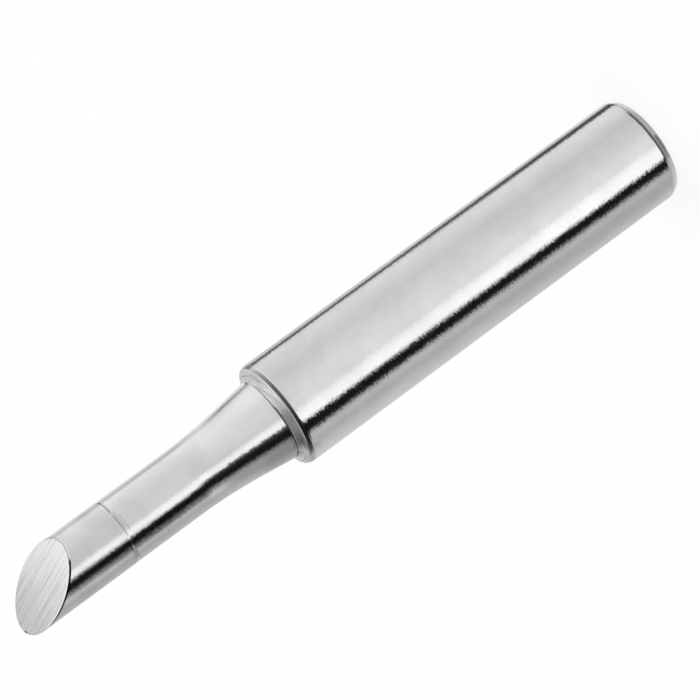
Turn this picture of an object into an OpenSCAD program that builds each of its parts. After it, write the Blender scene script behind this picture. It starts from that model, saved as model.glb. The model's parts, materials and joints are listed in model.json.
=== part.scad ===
// Bevel-ended soldering iron tip: one turned and plated copper piece.
// The hollow sleeve slides over the iron's heater, and its front shoulder is where
// the iron's retaining tube holds it. A tapered neck runs into a slim shaft, and the
// shaft's tinned end is ground off at a slant.
// Origin: centre of the open rear rim. +Z runs to the working point.
// The ground face looks to the front, -Y.

/* [Overall] */
// Length from the rear rim to the point
overall_len = 45; // [42:0.5:50]

/* [Sleeve] */
// Outside diameter of the sleeve
sleeve_d = 6.5; // [6:0.1:8]
// Length of the sleeve, up to its front edge
sleeve_len = 26.7; // [20:0.1:28]
// Length of the bevel on the rear edge, along the axis
rear_edge_len = 0.45; // [0.1:0.05:0.7]
// Depth of the bevel on the rear edge, into the wall
rear_edge_depth = 0.26; // [0.06:0.02:0.4]

/* [Heater bore] */
// Diameter of the blind bore that takes the heater
bore_d = 4.2; // [3:0.1:4.6]
// Solid metal from the end of the bore's straight wall to the sleeve's front edge
bore_end_solid = 2.2; // [1.6:0.1:6]
// Full angle of the cone that the drill left at the bore's end
drill_point_angle = 118; // [90:2:150]
// Width of the lead-in at the bore's mouth
bore_lead_in = 0.25; // [0.05:0.05:0.35]

/* [Shoulder] */
// Length of the narrow band in front of the sleeve's edge
edge_band_len = 0.24; // [0.1:0.02:0.5]
// How far the edge band closes in over its length
edge_band_drop = 0.09; // [0.03:0.01:0.2]
// Length of the coned shoulder face, along the axis
shoulder_len = 0.33; // [0.05:0.02:0.99]

/* [Neck] */
// Diameter of the neck at the shoulder face, before its fillet
neck_root_d = 5.06; // [4.7:0.02:5.6]
// Radius of the fillet between the shoulder face and the neck
neck_fillet_r = 0.3; // [0.1:0.05:0.5]
// Slope of the neck's straight taper against the axis
neck_slope = 7.4; // [5:0.2:10]
// Radius of the hollow curve that leads the taper into the shaft
neck_curve_r = 32; // [15:1:40]

/* [Shaft] */
// Diameter of the plated shaft
shaft_d = 3.96; // [3.4:0.02:4.2]

/* [Working end] */
// Length of the tinned end, up to the point
tinned_len = 7.04; // [5:0.02:9]
// Thickness of the tin, by which the end stands proud of the shaft
tin_thickness = 0.01; // [0.01:0.01:0.08]
// Angle between the ground face and the axis
bevel_angle = 45; // [35:1:70]
// Width of the small flat that blunts the point
point_flat = 0.02; // [0.01:0.01:0.15]

/* [Hidden] */

// Facets for a full turn of the tip, for the long circle of the neck's curve, and for
// the small one of its fillet
turn_fn = 128;
curve_fn = 1440;
fillet_fn = 144;
// How far a cutting shape reaches past the surface that it opens
past = 1;

sleeve_r = sleeve_d / 2;
bore_r = bore_d / 2;
bore_depth = sleeve_len - bore_end_solid;
band_front_r = sleeve_r - edge_band_drop;
neck_root_r = neck_root_d / 2;
shaft_r = shaft_d / 2;
tin_r = shaft_r + tin_thickness;

// Stations along the axis
band_front_z = sleeve_len + edge_band_len;
neck_root_z = band_front_z + shoulder_len;
tin_z = overall_len - tinned_len;

// Station where the straight taper would meet the shaft if no curve joined them
corner_z = neck_root_z + (neck_root_r - shaft_r) / tan(neck_slope);

// Corners of the outline: distance from the axis, then station
band_front = [band_front_r, band_front_z];
neck_root = [neck_root_r, neck_root_z];
shaft_corner = [shaft_r, corner_z];
shaft_front = [shaft_r, overall_len];

// Direction from one point to another
function heading(from, to) = (to - from) / norm(to - from);

// Start, corner, end and centre of a hollow curve of radius r, which touches the corner's
// two sides at the same distance from it
function hollow(from, corner, to, r) =
    let (
        back = heading(corner, from),
        on = heading(corner, to),
        half_angle = acos(back * on) / 2,
        reach = r / tan(half_angle),
        centre = corner + heading([0, 0], back + on) * r / sin(half_angle)
    )
    [corner + back * reach, corner, corner + on * reach, centre];

neck_fillet = hollow(band_front, neck_root, shaft_corner, neck_fillet_r);
neck_curve = hollow(neck_root, shaft_corner, shaft_front, neck_curve_r);

// Outline of the turned blank, up to the axis at its front end. Straight lines bridge
// the hollow curves.
sleeve_outline = [
    [0, 0],
    [sleeve_r - rear_edge_depth, 0],
    [sleeve_r, rear_edge_len],
    [sleeve_r, sleeve_len]
];
neck_outline = [
    band_front,
    neck_fillet[0],
    neck_fillet[2],
    neck_curve[0],
    neck_curve[2]
];
shaft_outline = [
    shaft_front,
    [0, overall_len]
];

// What is cut away between the arc of a hollow curve and the line that bridges it
module hollow_cut(curve, r, fn)
    intersection() {
        polygon(curve);
        translate(curve[3])
            circle(r = r, $fn = fn);
    }

// Half section of the turned blank, with both hollow curves cut into its outline
module turned_section()
    difference() {
        polygon(concat(sleeve_outline, neck_outline, shaft_outline));
        hollow_cut(neck_fillet, neck_fillet_r, fillet_fn);
        hollow_cut(neck_curve, neck_curve_r, curve_fn);
    }

// Half section of the heater bore: lead-in, straight wall and drill point
module bore_section()
    polygon([
        [0, -past],
        [bore_r + bore_lead_in + past, -past],
        [bore_r, bore_lead_in],
        [bore_r, bore_depth],
        [0, bore_depth + bore_r / tan(drill_point_angle / 2)]
    ]);

// Plated blank: the turned shape with the heater bore in it
module plated_blank()
    rotate_extrude($fn = turn_fn)
        difference() {
            turned_section();
            bore_section();
        }

// Layer of tin round the working end
module tinned_end()
    translate([0, 0, tin_z])
        cylinder(r = tin_r, h = tinned_len, $fn = turn_fn);

// Block that grinds the end off at a slant, up to the small flat on the point
module grinding_block()
    translate([0, tin_r - point_flat, overall_len])
        rotate([90 - bevel_angle, 0, 0])
            translate([-tin_r - past, -overall_len + sleeve_len, 0])
                cube([2 * (tin_r + past), overall_len - sleeve_len + past, tinned_len]);

module soldering_tip()
    color("lightgray")
        difference() {
            union() {
                plated_blank();
                tinned_end();
            }
            grinding_block();
        }

soldering_tip();
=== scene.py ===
import json
import math

import bmesh
import bpy
from mathutils import Euler, Matrix, Vector


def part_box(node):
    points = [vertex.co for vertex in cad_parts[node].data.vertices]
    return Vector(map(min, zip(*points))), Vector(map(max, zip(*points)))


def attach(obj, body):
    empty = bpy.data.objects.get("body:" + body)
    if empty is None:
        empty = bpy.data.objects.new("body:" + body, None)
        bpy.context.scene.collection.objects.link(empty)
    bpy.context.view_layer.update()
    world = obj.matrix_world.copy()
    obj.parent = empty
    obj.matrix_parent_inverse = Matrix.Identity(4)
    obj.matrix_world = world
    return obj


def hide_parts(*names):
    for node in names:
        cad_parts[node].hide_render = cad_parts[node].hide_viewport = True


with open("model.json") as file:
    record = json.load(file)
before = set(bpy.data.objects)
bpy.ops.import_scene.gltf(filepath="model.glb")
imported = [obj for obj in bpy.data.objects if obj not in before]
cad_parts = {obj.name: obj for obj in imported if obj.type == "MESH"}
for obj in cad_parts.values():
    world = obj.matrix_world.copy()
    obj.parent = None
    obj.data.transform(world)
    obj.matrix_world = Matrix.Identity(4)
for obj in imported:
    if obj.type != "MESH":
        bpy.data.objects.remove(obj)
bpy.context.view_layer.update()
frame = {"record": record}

# Units
MM = 0.001
DEG = math.pi / 180


def mount(name):
    return next(row for row in frame["record"]["mounts"] if row["name"] == name)


def wall_span(name):
    """Radius, first and last station of a round mount's wall, in mm."""
    wall = mount(name)
    middle, half = wall["pos_m"][2] / MM, wall["dims"]["length_mm"] / 2
    return wall["dims"]["r_mm"], middle - half, middle + half


# Turned shape, in mm: what the frame gives
overall_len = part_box("soldering_tip")[1].z / MM
sleeve_r, rear_edge_len, sleeve_len = wall_span("sleeve")
bore_r, bore_lead_in, bore_depth = wall_span("heater_bore")

# Turned shape, in mm: the sizes that the part's own drawing gives
rear_edge_depth = 0.26
drill_half_angle = 59 * DEG
edge_band_len = 0.24
edge_band_drop = 0.09
shoulder_len = 0.33
neck_root_r = 2.53
neck_slope = 7.4 * DEG
neck_curve_r = 32
shaft_r = 1.98
tinned_len = 7.04
tin_thickness = 0.01
tin_step_len = 0.03
bevel_angle = 45 * DEG
point_flat = 0.02

# Stations and radii that follow from them
band_front_r = sleeve_r - edge_band_drop
band_front_z = sleeve_len + edge_band_len
neck_root_z = band_front_z + shoulder_len
corner_z = neck_root_z + (neck_root_r - shaft_r) / math.tan(neck_slope)
curve_reach = neck_curve_r * math.tan(neck_slope / 2)
curve_end_z = corner_z + curve_reach
tin_z = overall_len - tinned_len
tin_r = shaft_r + tin_thickness
face_slope = 1 / math.tan(bevel_angle)
face_z = overall_len - (tin_r - point_flat) * face_slope

# Mesh fineness
TURN_STEPS = 256
CURVE_STEPS = 28
ROUND_STEPS = 4
# Distance from a corner to the extra ring that keeps a long face's shading level
SUPPORT = 0.17
# Distances in mm below which points are merged, and count as lying at a given place
MERGED = 0.0001
SAME_PLACE = 0.002

# Rounded edges: distance from the axis, station, and how far the rounding reaches from the edge
ROUNDINGS = (
    (bore_r, bore_lead_in, 0.06),
    (bore_r + bore_lead_in, 0, 0.04),
    (sleeve_r - rear_edge_depth, 0, 0.1),
    (sleeve_r, rear_edge_len, 0.12),
    (sleeve_r, sleeve_len, 0.02),
    (band_front_r, band_front_z, 0.05),
    (neck_root_r, neck_root_z, 0.08),
    (tin_r, face_z, 0.036),
)

# Camera, fitted to the photo's perspective. Lens and sensor are in mm, clipping is in metres
CAMERA_AIM = Vector((0.363, -0.338, 21.198)) * MM
CAMERA_AZIMUTH = -43.0 * DEG
CAMERA_ELEVATION = 16.22 * DEG
CAMERA_DISTANCE = 210.19 * MM
CAMERA_ROLL = 126.206 * DEG
CAMERA_LENS = 194.58
CAMERA_SENSOR = 36
CAMERA_CLIP_START = 0.01
CAMERA_CLIP_END = 10


def towards(azimuth, elevation):
    """Direction from the tip. Azimuth runs from the front, -Y, towards +X."""
    return Vector((
        math.sin(azimuth) * math.cos(elevation),
        -math.cos(azimuth) * math.cos(elevation),
        math.sin(elevation),
    ))


def neck_curve():
    """Points of the hollow curve from the taper to the shaft."""
    points = []
    for i in range(CURVE_STEPS + 1):
        angle = neck_slope * (1 - i / CURVE_STEPS)
        r = shaft_r + neck_curve_r * (1 - math.cos(angle))
        points.append((r, curve_end_z - neck_curve_r * math.sin(angle)))
    return points


def turned_outline():
    """Half section of the whole tip, from the drill point round to the middle of the end."""
    bore = [
        (0, bore_depth + bore_r / math.tan(drill_half_angle)),
        (bore_r, bore_depth),
        (bore_r, bore_lead_in),
        (bore_r + bore_lead_in, 0),
    ]
    sleeve = [
        (sleeve_r - rear_edge_depth, 0),
        (sleeve_r, rear_edge_len),
        (sleeve_r, sleeve_len),
    ]
    shoulder = [(band_front_r, band_front_z), (neck_root_r, neck_root_z)]
    end = [
        (shaft_r, tin_z - tin_step_len),
        (shaft_r, tin_z),
        (tin_r, tin_z + tin_step_len),
        (tin_r, tin_z + 2 * tin_step_len),
        (tin_r, face_z),
        (0, face_z),
    ]
    return bore + sleeve + shoulder + neck_curve() + end


def with_supports(outline):
    """Adds a point near each end of every long stretch of the outline."""
    points = [outline[0]]
    for start, stop in zip(outline, outline[1:]):
        length = math.dist(start, stop)
        if length > 3 * SUPPORT:
            for part in (SUPPORT / length, 1 - SUPPORT / length):
                points.append(tuple(a + (b - a) * part for a, b in zip(start, stop)))
        points.append(stop)
    return points


def lies_at(vert, r, z):
    away = math.hypot(vert.co.x, vert.co.y) / MM
    return abs(away - r) < SAME_PLACE and abs(vert.co.z / MM - z) < SAME_PLACE


def spin_outline(bm, outline):
    verts = [bm.verts.new((r * MM, 0, z * MM)) for r, z in outline]
    edges = [bm.edges.new(pair) for pair in zip(verts, verts[1:])]
    bmesh.ops.spin(
        bm,
        geom=verts + edges,
        cent=(0, 0, 0),
        axis=(0, 0, 1),
        angle=2 * math.pi,
        steps=TURN_STEPS,
        use_merge=True,
    )
    bmesh.ops.remove_doubles(bm, verts=bm.verts, dist=MERGED * MM)
    bmesh.ops.recalc_face_normals(bm, faces=bm.faces)


def round_ring(bm, r, z, rounding):
    ring = [edge for edge in bm.edges if all(lies_at(vert, r, z) for vert in edge.verts)]
    bmesh.ops.bevel(
        bm,
        geom=ring,
        offset=rounding * MM,
        offset_type="OFFSET",
        segments=ROUND_STEPS,
        profile=0.5,
        affect="EDGES",
        material=-1,
    )


# Finishes of the tip, in the order of its mesh's material slots
PLATED, TINNED, GROUND, BORED = range(4)
# Ground faces: at most this far below the level end, and looking up at least this much
GROUND_DEPTH = 0.04
GROUND_LOOKS_UP = 0.8


def finish_of(face):
    """Finish of a face, while the ground face still lies level."""
    place = face.calc_center_median() / MM
    away = math.hypot(place.x, place.y)
    if place.z > face_z - GROUND_DEPTH and face.normal.z > GROUND_LOOKS_UP:
        return GROUND
    if place.z > tin_z:
        return TINNED
    if away < bore_r + bore_lead_in and place.z < bore_depth + bore_r:
        return BORED
    return PLATED


def slant_end(bm):
    """Slants the level end into the ground face, which rises to the point at +Y."""
    slant = Matrix.Identity(4)
    slant[2][1] = face_slope
    end = [v for v in bm.verts if v.co.z / MM > face_z - 2 * SUPPORT]
    bmesh.ops.transform(bm, matrix=slant, verts=end)


def tip_mesh():
    bm = bmesh.new()
    spin_outline(bm, with_supports(turned_outline()))
    for r, z, rounding in ROUNDINGS:
        round_ring(bm, r, z, rounding)
    bm.normal_update()
    for face in bm.faces:
        face.smooth = True
        face.material_index = finish_of(face)
    slant_end(bm)
    mesh = bpy.data.meshes.new("turned_tip")
    bm.to_mesh(mesh)
    bm.free()
    return mesh


def add_object(name, data):
    piece = bpy.data.objects.new(name, data)
    bpy.context.scene.collection.objects.link(piece)
    return piece


# Node helpers


def wire(tree, value, socket):
    """Links a socket, or writes a plain value."""
    if isinstance(value, bpy.types.NodeSocket):
        tree.links.new(value, socket)
    else:
        socket.default_value = value


def math_node(tree, operation, *values):
    node = tree.nodes.new("ShaderNodeMath")
    node.operation = operation
    for socket, value in zip(node.inputs, values):
        wire(tree, value, socket)
    return node.outputs[0]


def vector_node(tree, operation, *values):
    node = tree.nodes.new("ShaderNodeVectorMath")
    node.operation = operation
    for socket, value in zip(node.inputs, values):
        wire(tree, value, socket)
    return node.outputs["Value" if operation in ("LENGTH", "DOT_PRODUCT") else "Vector"]


def times(tree, first, second):
    return math_node(tree, "MULTIPLY", first, second)


def minus(tree, first, second):
    return math_node(tree, "SUBTRACT", first, second)


def scaled(tree, vector, factor):
    node = tree.nodes.new("ShaderNodeVectorMath")
    node.operation = "SCALE"
    wire(tree, vector, node.inputs[0])
    wire(tree, factor, node.inputs["Scale"])
    return node.outputs["Vector"]


def split(tree, vector):
    node = tree.nodes.new("ShaderNodeSeparateXYZ")
    tree.links.new(vector, node.inputs[0])
    return node.outputs


def joined(tree, x, y, z):
    node = tree.nodes.new("ShaderNodeCombineXYZ")
    for socket, value in zip(node.inputs, (x, y, z)):
        wire(tree, value, socket)
    return node.outputs[0]


def noise(tree, vector, scale=1.0, detail=2.0, roughness=0.5, distortion=0.0):
    node = tree.nodes.new("ShaderNodeTexNoise")
    tree.links.new(vector, node.inputs["Vector"])
    wire(tree, scale, node.inputs["Scale"])
    node.inputs["Detail"].default_value = detail
    node.inputs["Roughness"].default_value = roughness
    node.inputs["Distortion"].default_value = distortion
    return node.outputs


def ramp_node(tree, factor, stops):
    node = tree.nodes.new("ShaderNodeValToRGB")
    points = node.color_ramp.elements
    while len(points) < len(stops):
        points.new(1)
    for point, (place, value) in zip(points, stops):
        point.position = place
        point.color = (value, value, value, 1)
    tree.links.new(factor, node.inputs["Fac"])
    return node.outputs["Color"]


def fade(tree, value, start, end, low=0.0, high=1.0):
    """Smooth fade from low to high as value goes from start to end."""
    node = tree.nodes.new("ShaderNodeMapRange")
    node.interpolation_type = "SMOOTHSTEP"
    wire(tree, value, node.inputs["Value"])
    wire(tree, start, node.inputs["From Min"])
    wire(tree, end, node.inputs["From Max"])
    wire(tree, low, node.inputs["To Min"])
    wire(tree, high, node.inputs["To Max"])
    return node.outputs["Result"]


def fall(tree, value, start, end):
    """Smooth fall from 1 to 0 as value goes from start to end."""
    return fade(tree, value, start, end, 1, 0)


def window(tree, value, start, end, soft):
    """1 between start and end, 0 outside, with soft edges."""
    rise = fade(tree, value, start - soft, start + soft)
    return times(tree, rise, fall(tree, value, end - soft, end + soft))


def blend(tree, factor, first, second):
    """Mixes two colours by a factor, from the first to the second."""
    node = tree.nodes.new("ShaderNodeMix")
    node.data_type = "RGBA"
    colours = [socket for socket in node.inputs if socket.type == "RGBA"]
    wire(tree, factor, node.inputs["Factor"])
    wire(tree, first, colours[0])
    wire(tree, second, colours[1])
    return next(socket for socket in node.outputs if socket.type == "RGBA")


def blend_shaders(tree, factor, first, second):
    """Mixes two shaders by a factor, from the first to the second."""
    node = tree.nodes.new("ShaderNodeMixShader")
    tree.links.new(factor, node.inputs["Fac"])
    tree.links.new(first, node.inputs[1])
    tree.links.new(second, node.inputs[2])
    return node.outputs[0]


def grey(value, tint=0.0):
    """A grey, or with a tint a faintly olive one."""
    return (value, value, value * (1 - tint), 1)


def bearing_of(tree, x, y):
    """Angle in radians round the axis, 0 on the side that the photo shows, positive towards -X."""
    ahead = towards(CAMERA_AZIMUTH, 0)
    left = Vector((ahead.y, -ahead.x, 0))
    flat = joined(tree, x, y, 0)
    share_left = vector_node(tree, "DOT_PRODUCT", flat, tuple(left))
    share_ahead = vector_node(tree, "DOT_PRODUCT", flat, tuple(ahead))
    return math_node(tree, "ARCTAN2", share_left, share_ahead)


# Shared effects, as node groups. Their Place input is the object's own coordinates in mm.


def new_group(name, inputs, outputs):
    """A node group with a Place input, number inputs and the outputs given by kind."""
    group = bpy.data.node_groups.new(name, "ShaderNodeTree")
    group.interface.new_socket("Place", in_out="INPUT", socket_type="NodeSocketVector")
    for socket in inputs:
        group.interface.new_socket(socket, in_out="INPUT", socket_type="NodeSocketFloat")
    for socket, kind in outputs.items():
        group.interface.new_socket(socket, in_out="OUTPUT", socket_type="NodeSocket" + kind)
    start = group.nodes.new("NodeGroupInput")
    end = group.nodes.new("NodeGroupOutput")
    return group, start.outputs, end.inputs


def turning_marks():
    """Fine rings that a cutting tool leaves round the axis. They also sway the normal sideways.

    Around and Along are their waves per mm, and Sway is how far they turn the normal.
    """
    group, given, out = new_group(
        "turning_marks",
        ("Around", "Along", "Sway"),
        {"Height": "Float", "Tone": "Float", "Normal": "Vector"},
    )
    x, y, z = split(group, given["Place"])
    flat = joined(group, x, y, 0)
    # Distance from the axis counts too, so that faces square to it also get rings
    along = times(group, minus(group, z, vector_node(group, "LENGTH", flat)), given["Along"])
    across = scaled(group, flat, given["Around"])
    drawn = vector_node(group, "ADD", across, joined(group, 0, 0, along))
    marks = noise(group, drawn, detail=2, roughness=0.6)
    _, sway_tone, tone = split(group, marks["Color"])
    swing = times(group, minus(group, sway_tone, 0.5), given["Sway"])
    tangent = vector_node(group, "NORMALIZE", joined(group, times(group, y, -1), x, 0))
    facing = group.nodes.new("ShaderNodeNewGeometry").outputs["Normal"]
    swayed = vector_node(group, "ADD", facing, scaled(group, tangent, swing))
    group.links.new(marks["Fac"], out["Height"])
    group.links.new(tone, out["Tone"])
    group.links.new(vector_node(group, "NORMALIZE", swayed), out["Normal"])
    return group


# How much finer the specks of a plated surface are than its patches
SPECK_FINENESS = 11


def cloudiness():
    """Soft uneven patches of a plated surface, specks in them and a patchy tint. Size is in mm."""
    group, given, out = new_group(
        "cloudiness",
        ("Size",),
        {"Patches": "Float", "Specks": "Float", "Tint": "Float"},
    )
    scale = math_node(group, "DIVIDE", 1, given["Size"])
    fine_scale = times(group, scale, SPECK_FINENESS)
    elsewhere = vector_node(group, "ADD", given["Place"], (7, 3, 5))
    patches = noise(group, given["Place"], scale, detail=3, distortion=0.6)
    specks = noise(group, given["Place"], fine_scale, detail=2, roughness=0.6)
    tint = noise(group, elsewhere, scale, detail=1)
    group.links.new(fade(group, patches["Fac"], 0.32, 0.68), out["Patches"])
    group.links.new(fade(group, specks["Fac"], 0.35, 0.72), out["Specks"])
    group.links.new(fade(group, tint["Fac"], 0.5, 0.75), out["Tint"])
    return group


def ring_line():
    """A fine broken line round the axis at one station, on one side of the piece.

    Station and Width are in mm, Bearing and Spread in radians. Gaps is 0 for an unbroken line
    and 0.5 for one that is half gone.
    """
    group, given, out = new_group(
        "ring_line",
        ("Station", "Width", "Gaps", "Bearing", "Spread"),
        {"Mask": "Float"},
    )
    x, y, z = split(group, given["Place"])
    wander = noise(group, given["Place"], 0.9, detail=2, roughness=0.6)["Fac"]
    shift = times(group, minus(group, wander, 0.5), given["Width"])
    off = math_node(group, "ABSOLUTE", minus(group, minus(group, z, given["Station"]), shift))
    line = fall(group, math_node(group, "DIVIDE", off, given["Width"]), 0.25, 0.6)
    elsewhere = vector_node(group, "ADD", given["Place"], (3, 9, 1))
    patch = noise(group, elsewhere, 1.3, detail=3, roughness=0.6)["Fac"]
    held = fade(group, minus(group, patch, given["Gaps"]), -0.08, 0.08)
    aside = math_node(group, "ABSOLUTE", minus(group, bearing_of(group, x, y), given["Bearing"]))
    fading = times(group, given["Spread"], 0.85)
    gone = times(group, given["Spread"], 1.15)
    held = times(group, held, fall(group, aside, fading, gone))
    group.links.new(times(group, line, held), out["Mask"])
    return group


def scratches():
    """Straight scratches along Y of the place given. Fineness is per mm, and Length in mm."""
    group, given, out = new_group(
        "scratches",
        ("Fineness", "Length"),
        {"Height": "Float", "Lines": "Float", "Tone": "Float"},
    )
    stretch = joined(group, given["Fineness"], math_node(group, "DIVIDE", 1, given["Length"]), 1)
    drawn = vector_node(group, "MULTIPLY", given["Place"], stretch)
    elsewhere = vector_node(group, "ADD", drawn, (40, 12, 0))
    fine = noise(group, drawn, detail=3, roughness=0.6, distortion=0.15)
    broad = noise(group, drawn, 0.22, detail=2, distortion=0.1)
    sparse = noise(group, elsewhere, 0.34, detail=1, distortion=0.05)
    off = math_node(group, "ABSOLUTE", minus(group, sparse["Fac"], 0.5))
    group.links.new(fine["Fac"], out["Height"])
    group.links.new(fall(group, off, 0.008, 0.036), out["Lines"])
    group.links.new(broad["Fac"], out["Tone"])
    return group


def make_effects():
    return {make.__name__: make() for make in (turning_marks, cloudiness, ring_line, scratches)}


effects = make_effects()


class Finish:
    """A metal material with the object's coordinates in mm and shared effects placed in it."""

    def __init__(self, name):
        self.material = bpy.data.materials.new(name)
        self.material.use_nodes = True
        self.tree = self.material.node_tree
        self.shader = self.tree.nodes["Principled BSDF"]
        self.shader.inputs["Metallic"].default_value = 1
        place = self.tree.nodes.new("ShaderNodeTexCoord").outputs["Object"]
        self.place = scaled(self.tree, place, 1 / MM)

    def effect(self, name, place=None, **values):
        node = self.tree.nodes.new("ShaderNodeGroup")
        node.node_tree = effects[name]
        self.tree.links.new(place or self.place, node.inputs["Place"])
        for socket, value in values.items():
            wire(self.tree, value, node.inputs[socket])
        return node.outputs

    def bump(self, height, depth, normal=None):
        """Relief of a height from 0 to 1, depth in mm."""
        node = self.tree.nodes.new("ShaderNodeBump")
        node.inputs["Distance"].default_value = depth * MM
        self.tree.links.new(height, node.inputs["Height"])
        if normal:
            self.tree.links.new(normal, node.inputs["Normal"])
        return node.outputs["Normal"]

    def set(self, socket, value):
        wire(self.tree, value, self.shader.inputs[socket])


def overlaid(finish, colour, mask, shade, share=1.0):
    """Lays a grey over a colour where the mask is, at a share of its strength, for real marks and
    painted shade and highlights alike.
    """
    return blend(finish.tree, times(finish.tree, mask, share), colour, shade)


# Roughness of the polished metal in its light patches and in its dark ones, and what its
# dull specks add to it
LIGHT_ROUGHNESS = 0.03
DARK_ROUGHNESS = 0.055
SPECK_ROUGHNESS = 0.12


def turned_metal(finish, light, dark, sway, depth):
    """Colour and normal of a turned and plated surface, between two greys."""
    tree = finish.tree
    marks = finish.effect("turning_marks", Around=6.0, Along=19.0, Sway=sway)
    clouds = finish.effect("cloudiness", Size=2.2)
    colour = blend(tree, clouds["Patches"], dark, light)
    colour = overlaid(finish, colour, clouds["Tint"], grey(0.78, 0.04), 0.5)
    colour = overlaid(finish, colour, clouds["Specks"], grey(0.66), 0.14)
    polish = fade(tree, clouds["Patches"], 0, 1, DARK_ROUGHNESS, LIGHT_ROUGHNESS)
    dull = times(tree, clouds["Specks"], marks["Tone"])
    finish.set("Roughness", math_node(tree, "MULTIPLY_ADD", dull, SPECK_ROUGHNESS, polish))
    return colour, finish.bump(marks["Height"], depth, marks["Normal"])


# Dark lines and smudges round the axis, of painted shade and painted reflection: station and
# width in mm, gaps, bearing and spread round the axis in degrees, grey and strength
# Painted reflection of dark surroundings on the rounded rear edge, as broken dark lines beside it
REAR_PAINTED_REFLECTION = (
    (rear_edge_len + 0.06, 0.2, 0.36, -6, 34, 0.1, 0.85),
    (rear_edge_len - 0.2, 0.3, 0.5, 12, 14, 0.15, 0.7),
)
# Painted shade and painted reflection in the corner at the neck's root; the wide last row is painted
# shade near the shoulder, with a faint olive tarnish
NECK_PAINTED_SHADE = (
    (neck_root_z + 0.01, 0.07, 0.3, 14, 24, 0.05, 0.8),
    (neck_root_z + 0.12, 0.2, 0.3, 45, 14, 0.3, 0.5),
    (neck_root_z + 0.05, 0.16, 0.1, 76, 12, 0.1, 0.8),
    (neck_root_z + 0.6, 2.8, 0.0, 62, 24, 0.35, 0.36),
)
# Painted reflection of the small ridges where the plating meets the tin, as dark broken lines
SEAM_PAINTED_REFLECTION = (
    (tin_z - 0.3, 0.12, 0.42, -8, 15, 0.45, 0.4),
    (tin_z - 0.14, 0.14, 0.38, -14, 17, 0.45, 0.45),
    (tin_z + 0.08, 0.36, 0.25, 50, 14, 0.4, 0.6),
    (tin_z - 0.02, 0.09, 0.3, -50, 18, 0.2, 0.75),
    (tin_z - 0.02, 0.08, 0.3, -6, 20, 0.25, 0.8),
)


# Lays the broken lines of painted shade and painted reflection from a table over a colour
def with_painted_shade_lines(finish, colour, stains):
    for station, width, gaps, bearing, spread, shade, share in stains:
        line = finish.effect(
            "ring_line",
            Station=station,
            Width=width,
            Gaps=gaps,
            Bearing=bearing * DEG,
            Spread=spread * DEG,
        )
        colour = overlaid(finish, colour, line["Mask"], grey(shade, 0.05), share)
    return colour


# Middle of the stretch round the axis where the shoulder's cone is smoothest
SMOOTH_BEARING = 13 * DEG


def bright_plating():
    finish = Finish("bright_plating")
    tree = finish.tree
    colour, normal = turned_metal(finish, grey(0.83), grey(0.77, 0.01), 0.18, 0.0011)
    # The coned face of the shoulder is cut coarser than the rest, and unevenly round
    x, y, z = split(tree, finish.place)
    aside = math_node(tree, "ABSOLUTE", minus(tree, bearing_of(tree, x, y), SMOOTH_BEARING))
    cone = window(tree, z, band_front_z + 0.02, neck_root_z, 0.03)
    cone = times(tree, cone, fade(tree, aside, 20 * DEG, 38 * DEG, 0.2, 1))
    cuts = finish.effect("turning_marks", Around=0.7, Along=9.0, Sway=0.0)
    relief = times(tree, cone, minus(tree, cuts["Height"], 0.5))
    dark_cuts = times(tree, cone, fade(tree, cuts["Height"], 0.5, 0.36))
    light_cuts = times(tree, cone, fade(tree, cuts["Height"], 0.53, 0.64))
    colour = overlaid(finish, colour, dark_cuts, grey(0.3), 0.7)
    colour = overlaid(finish, colour, light_cuts, grey(1.0), 0.9)
    colour = with_painted_shade_lines(finish, colour, REAR_PAINTED_REFLECTION + NECK_PAINTED_SHADE + SEAM_PAINTED_REFLECTION)
    finish.set("Base Color", colour)
    finish.set("Normal", finish.bump(relief, 0.015, normal))
    return finish.material


def edge_distance(finish):
    """Distance in mm from the rim of the ground face, down the wall and square to the rim."""
    tree = finish.tree
    x, y, z = split(tree, finish.place)
    rim_z = math_node(tree, "ADD", face_z, times(tree, y, face_slope))
    slope = times(tree, x, face_slope / tin_r)
    steepness = math_node(tree, "SQRT", math_node(tree, "ADD", 1, times(tree, slope, slope)))
    return math_node(tree, "DIVIDE", minus(tree, rim_z, z), steepness)


# Bearings, on the side towards the camera, between which a dark line of painted reflection lies below
# the rim, and a painted highlight above
PAINTED_EDGE_START, PAINTED_EDGE_END = -9 * DEG, 82 * DEG
# Nick in the rim beside the point, in mm, drawn only as a dark spot of painted shade
NICK_PLACE = (-0.22, 1.95, 44.98)


def tinned_end():
    finish = Finish("tinned_end")
    tree = finish.tree
    colour, normal = turned_metal(finish, grey(0.8), grey(0.69, 0.01), 0.16, 0.0014)
    x, y, z = split(tree, finish.place)
    bearing = bearing_of(tree, x, y)
    unrolled = joined(tree, z, times(tree, bearing, tin_r), 0)
    hairs = finish.effect("scratches", place=unrolled, Fineness=10.0, Length=3.0)
    colour = overlaid(finish, colour, hairs["Lines"], grey(0.45), 0.06)
    colour = with_painted_shade_lines(finish, colour, SEAM_PAINTED_REFLECTION)
    # Painted dark reflection in a line below the rim of the ground face, on the side towards the
    # camera
    below = window(tree, edge_distance(finish), 0.015, 0.12, 0.02)
    painted_dark_line = times(tree, below, window(tree, bearing, PAINTED_EDGE_START, PAINTED_EDGE_END, 0.05))
    finish.set("Base Color", overlaid(finish, colour, painted_dark_line, grey(0.012)))
    finish.set("Normal", normal)
    return finish.material


# Tilt of the grinding scratches from the long way of the face, towards +X
SCRATCH_TILT = 8 * DEG
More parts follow.
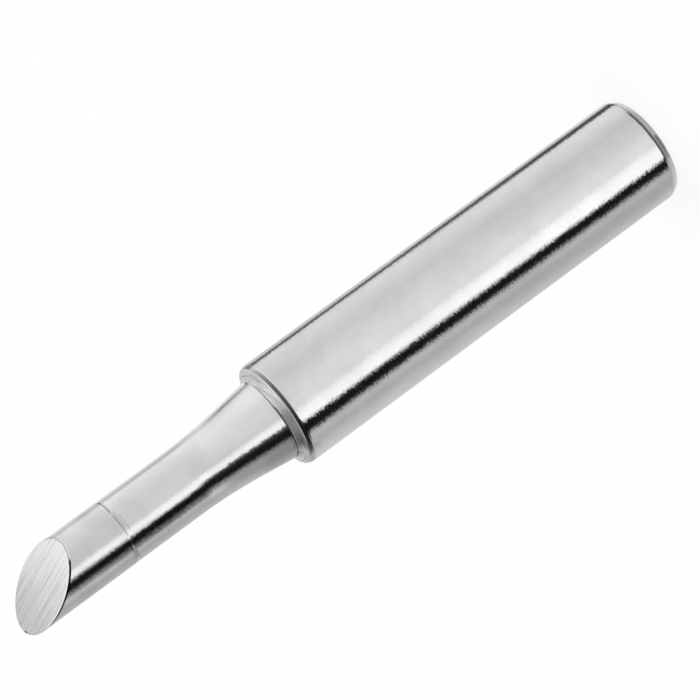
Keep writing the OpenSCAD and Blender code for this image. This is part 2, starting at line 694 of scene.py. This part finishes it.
# Deeper scratches of the ground face, in mm: how far to the side of its middle they run, first
# and last place along, and strength
DEEP_CUTS = (
    (-0.97, -1.4, 2.1, 0.55),
    (1.0, -1.6, 2.3, 0.35),
    (0.2, -1.0, 1.5, 0.3),
    (0.62, 0.4, 2.4, 0.4),
    (-0.3, 0.9, 2.6, 0.3),
)
DEEP_CUT_WIDTH = 0.05


def level_place(finish):
    """Places in mm as if the ground face lay level, with its middle at 0 and its scratches along Y."""
    turn = finish.tree.nodes.new("ShaderNodeMapping")
    level = Euler((bevel_angle - 90 * DEG, 0, SCRATCH_TILT))
    turn.inputs["Rotation"].default_value = level
    turn.inputs["Location"].default_value = -(level.to_matrix() @ Vector((0, 0, face_z)))
    finish.tree.links.new(finish.place, turn.inputs["Vector"])
    return turn.outputs[0]


def ground_face():
    finish = Finish("ground_face")
    tree = finish.tree
    on_face = level_place(finish)
    cuts = finish.effect("scratches", place=on_face, Fineness=14.0, Length=3.0)
    long_cuts = finish.effect("scratches", place=on_face, Fineness=9.0, Length=9.0)
    x, y, _ = split(tree, finish.place)
    # The face is duller towards the point, and scratched more
    worn = fade(tree, y, -1.2 * tin_r, 1.2 * tin_r)
    streaks = fade(tree, cuts["Tone"], 0.35, 0.65)
    clean = blend(tree, streaks, grey(0.92), grey(1.0))
    dull = blend(tree, streaks, grey(0.56), grey(0.66))
    colour = blend(tree, worn, clean, dull)
    deep = times(tree, fade(tree, cuts["Height"], 0.5, 0.32), fade(tree, y, -2, 1, 0.5, 1))
    colour = overlaid(finish, colour, deep, grey(0.35), 0.6)
    colour = overlaid(finish, colour, long_cuts["Lines"], grey(0.4), 0.35)
    across, ahead, _ = split(tree, on_face)
    across = math_node(tree, "MULTIPLY_ADD", cuts["Tone"], DEEP_CUT_WIDTH, across)
    for side, first, last, share in DEEP_CUTS:
        beside = window(tree, across, side, side + DEEP_CUT_WIDTH, 0.02)
        cut = times(tree, beside, window(tree, ahead, first, last, 0.3))
        colour = overlaid(finish, colour, cut, grey(0.35), share)
    # Painted highlight along the rim of the ground face, on the side towards the camera
    inside = minus(tree, tin_r, vector_node(tree, "LENGTH", joined(tree, x, y, 0)))
    ground_side = window(tree, bearing_of(tree, x, y), PAINTED_EDGE_START, PAINTED_EDGE_END, 0.1)
    rim = times(tree, window(tree, inside, 0.01, 0.09, 0.03), ground_side)
    colour = overlaid(finish, colour, rim, grey(1.0), 0.9)
    # Dark spot of painted shade where the real nick is
    # The nick is twice as long across as it is deep
    off = vector_node(tree, "SUBTRACT", finish.place, NICK_PLACE)
    from_nick = vector_node(tree, "LENGTH", vector_node(tree, "MULTIPLY", off, (0.5, 1, 1)))
    colour = overlaid(finish, colour, fall(tree, from_nick, 0.05, 0.1), grey(0.03), 0.9)
    finish.set("Base Color", colour)
    finish.set("Roughness", fade(tree, cuts["Tone"], 0.3, 0.7, 0.3, 0.42))
    relief = math_node(tree, "MULTIPLY_ADD", long_cuts["Lines"], -0.4, cuts["Height"])
    finish.set("Normal", finish.bump(relief, 0.006))
    return finish.material


def bore_wall():
    finish = Finish("bore_wall")
    tree = finish.tree
    marks = finish.effect("turning_marks", Around=0.8, Along=7.0, Sway=0.1)
    clouds = finish.effect("cloudiness", Size=3.0)
    colour = blend(tree, clouds["Patches"], grey(0.36, 0.1), grey(0.52, 0.06))
    finish.set("Base Color", overlaid(finish, colour, clouds["Specks"], grey(0.25, 0.1), 0.4))
    finish.set("Roughness", fade(tree, marks["Tone"], 0.3, 0.7, 0.3, 0.45))
    finish.set("Normal", finish.bump(marks["Height"], 0.008, marks["Normal"]))
    return finish.material


def make_tip():
    tip = add_object("turned_tip", tip_mesh())
    # In the order of PLATED, TINNED, GROUND and BORED
    for material in (bright_plating(), tinned_end(), ground_face(), bore_wall()):
        tip.data.materials.append(material)
    return tip


# Light tent round the tip, as the polished metal mirrors it: rings of panels from the
# ground up. A ring gives the elevations over which it takes over from the ring below,
# then its panels: bearing from the camera, positive towards -X, and brightness. All angles
# are in degrees. Each ring is named for what mirrors it to the camera.
TENT_RINGS = (
    # Rear edge
    (None, (
        (-180, 0.74), (-140, 0.80), (-118, 0.52), (-90, 0.50), (90, 0.50), (118, 0.60), (140, 0.68),
    )),
    # Sleeve, towards its rear
    ((-40, -26), (
        (-180, 0.70), (-152, 0.72), (-141, 0.09), (-129, 0.08), (-120, 0.84), (-105, 0.86),
        (-62, 0.68), (-24, 0.77), (-6, 0.87), (12, 0.92), (18, 1.10), (26, 1.20), (43, 1.24),
        (50, 0.01), (63, 0.01), (67, 0.07), (75, 0.48), (82, 0.54), (94, 0.46), (113, 0.48),
        (140, 0.60),
    )),
    # Sleeve, towards its front
    ((-21, -16), (
        (-180, 0.62), (-149, 0.66), (-141, 0.13), (-134, 0.13), (-127, 0.78), (-113, 0.84),
        (-62, 0.72), (-24, 0.83), (0, 0.87), (12, 0.86), (18, 1.02), (26, 1.12), (39, 1.16),
        (46, 0.01), (61, 0.01), (65, 0.06), (73, 0.52), (79, 0.58), (94, 0.50), (104, 0.54),
        (113, 0.60), (140, 0.66),
    )),
    # Shaft
    ((-14.2, -13), (
        (-180, 0.86), (-159, 0.87), (-146, 0.73), (-137, 0.66), (-129, 0.50), (-122, 0.70),
        (-116, 0.90), (-110, 0.95), (-86, 0.87), (-48, 0.76), (0, 0.74), (11, 0.76), (18, 1.00),
        (28, 1.12), (36, 1.10), (45, 0.05), (50, 0.01), (67, 0.00), (73, 0.03), (77, 0.08),
        (84, 0.16), (92, 0.54), (100, 0.52), (112, 0.46), (128, 0.50), (160, 0.58),
    )),
    # Tinned end
    ((-11.8, -10.8), (
        (-180, 0.86), (-159, 0.90), (-146, 0.86), (-137, 0.82), (-129, 0.76), (-122, 0.84),
        (-116, 0.96), (-99, 0.96), (-86, 0.87), (-48, 0.76), (-9, 0.67), (0, 0.67), (10, 0.76),
        (18, 1.18), (27, 1.16), (32, 0.95), (38, 0.06), (44, 0.01), (60, 0.01), (67, 0.12),
        (76, 0.38), (90, 0.76), (100, 0.62), (109, 0.52), (127, 0.52), (160, 0.58),
    )),
    # Neck
    ((-10.6, -7.6), (
        (-180, 0.60), (-163, 0.60), (-149, 0.50), (-141, 0.20), (-132, 0.20), (-126, 0.56),
        (-115, 0.85), (-100, 0.97), (-80, 0.97), (-34, 0.84), (0, 0.77), (10, 0.74), (17, 0.98),
        (25, 1.15), (32, 1.08), (38, 0.10), (44, 0.03), (50, 0.01), (63, 0.01), (70, 0.14),
        (77, 0.32), (84, 0.38), (98, 0.37), (107, 0.38), (127, 0.48), (141, 0.46), (163, 0.60),
    )),
    # Band at the sleeve's front edge
    ((4, 11), (
        (-180, 0.70), (-125, 0.70), (-100, 0.48), (-80, 0.32), (-50, 0.16), (0, 0.08),
        (40, 0.02), (65, 0.01), (90, 0.03), (120, 0.16), (150, 0.62), (180, 0.70),
    )),
    # Ground face
    ((33, 42), (
        (-180, 0.66), (-150, 0.62), (-135, 0.92), (-110, 1.15), (-80, 1.13), (-50, 0.94),
        (0, 0.70), (90, 0.50), (130, 0.30), (145, 0.17), (160, 0.18), (180, 0.50),
    )),
    # Coned face of the shoulder
    ((52, 62), (
        (-180, 0.82), (-171, 0.88), (-163, 0.90), (-156, 0.96), (-140, 0.90), (0, 0.50),
        (140, 0.26), (152, 0.28), (163, 0.58), (171, 0.74), (180, 0.82),
    )),
)


def ring_of_panels(tree, share_round, panels):
    stops = [((angle + 180) / 360, brightness) for angle, brightness in panels]
    return ramp_node(tree, share_round, stops)


def tent_brightness(tree):
    """Brightness of the tent in the direction that a ray leaves."""
    turn = tree.nodes.new("ShaderNodeMapping")
    turn.inputs["Rotation"].default_value = (0, 0, -CAMERA_AZIMUTH)
    tree.links.new(tree.nodes.new("ShaderNodeTexCoord").outputs["Generated"], turn.inputs["Vector"])
    x, y, z = split(tree, turn.outputs["Vector"])
    angle = math_node(tree, "ARCTAN2", times(tree, x, -1), times(tree, y, -1))
    share_round = math_node(tree, "ADD", math_node(tree, "DIVIDE", angle, 2 * math.pi), 0.5)
    elevation = math_node(tree, "DIVIDE", math_node(tree, "ARCSINE", z), DEG)
    light = ring_of_panels(tree, share_round, TENT_RINGS[0][1])
    for span, panels in TENT_RINGS[1:]:
        ring = ring_of_panels(tree, share_round, panels)
        light = blend(tree, fade(tree, elevation, *span), light, ring)
    return light


def background(tree, colour):
    node = tree.nodes.new("ShaderNodeBackground")
    wire(tree, colour, node.inputs["Color"])
    return node.outputs[0]


def light_tent():
    """World that is plain white, with the tent for mirroring rays alone."""
    world = bpy.data.worlds.new("light_tent")
    bpy.context.scene.world = world
    # A rough surface too then finds the tent only along its own mirrored rays
    world.cycles.sampling_method = "NONE"
    world.use_nodes = True
    tree = world.node_tree
    tree.nodes.clear()
    mirroring = tree.nodes.new("ShaderNodeLightPath").outputs["Is Glossy Ray"]
    plain = background(tree, grey(1))
    tent = background(tree, tent_brightness(tree))
    out = tree.nodes.new("ShaderNodeOutputWorld")
    tree.links.new(blend_shaders(tree, mirroring, plain, tent), out.inputs["Surface"])


def make_camera():
    data = bpy.data.cameras.new("camera")
    data.lens = CAMERA_LENS
    data.sensor_width = CAMERA_SENSOR
    data.clip_start = CAMERA_CLIP_START
    data.clip_end = CAMERA_CLIP_END
    camera = add_object("camera", data)
    back = towards(CAMERA_AZIMUTH, CAMERA_ELEVATION)
    camera.location = CAMERA_AIM + back * CAMERA_DISTANCE
    level = (-back).to_track_quat("-Z", "Y").to_matrix()
    roll = Matrix.Rotation(-CAMERA_ROLL, 3, "Z")
    camera.rotation_euler = (level @ roll).to_euler()
    bpy.context.scene.camera = camera


# Soft lamp above the tip, to its right and a little in front, in metres and watts
LAMP_AZIMUTH = CAMERA_AZIMUTH + 110 * DEG
LAMP_ELEVATION = 48 * DEG
LAMP_DISTANCE = 0.8
LAMP_SIZE = 0.6
LAMP_POWER = 1.0


def make_lamp():
    data = bpy.data.lights.new("soft_lamp", "AREA")
    data.shape = "SQUARE"
    data.size = LAMP_SIZE
    data.energy = LAMP_POWER
    lamp = add_object("soft_lamp", data)
    lamp.visible_glossy = False
    back = towards(LAMP_AZIMUTH, LAMP_ELEVATION)
    lamp.location = CAMERA_AIM + back * LAMP_DISTANCE
    lamp.rotation_euler = (-back).to_track_quat("-Z", "Y").to_euler()


# Floor, and the share of its look to the camera that is plain white
FLOOR_RADIUS = 1.5
FLOOR_STEPS = 96
FLOOR_GREY = 0.9
FLOOR_GLOW = 0.85


def make_floor():
    bm = bmesh.new()
    bmesh.ops.create_circle(bm, cap_ends=True, segments=FLOOR_STEPS, radius=FLOOR_RADIUS)
    mesh = bpy.data.meshes.new("floor")
    bm.to_mesh(mesh)
    bm.free()
    floor = add_object("floor", mesh)
    floor.visible_glossy = False
    material = bpy.data.materials.new("white_floor")
    material.use_nodes = True
    tree = material.node_tree
    paper = tree.nodes["Principled BSDF"]
    paper.inputs["Base Color"].default_value = grey(FLOOR_GREY)
    paper.inputs["Roughness"].default_value = 0.9
    glow = tree.nodes.new("ShaderNodeEmission")
    seen = tree.nodes.new("ShaderNodeLightPath").outputs["Is Camera Ray"]
    look = blend_shaders(tree, times(tree, seen, FLOOR_GLOW), paper.outputs[0], glow.outputs[0])
    tree.links.new(look, tree.nodes["Material Output"].inputs["Surface"])
    floor.data.materials.append(material)


tip = make_tip()
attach(tip, "root")
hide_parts("soldering_tip")

make_camera()
make_floor()
make_lamp()
light_tent()
bpy.context.scene.view_settings.view_transform = "Standard"
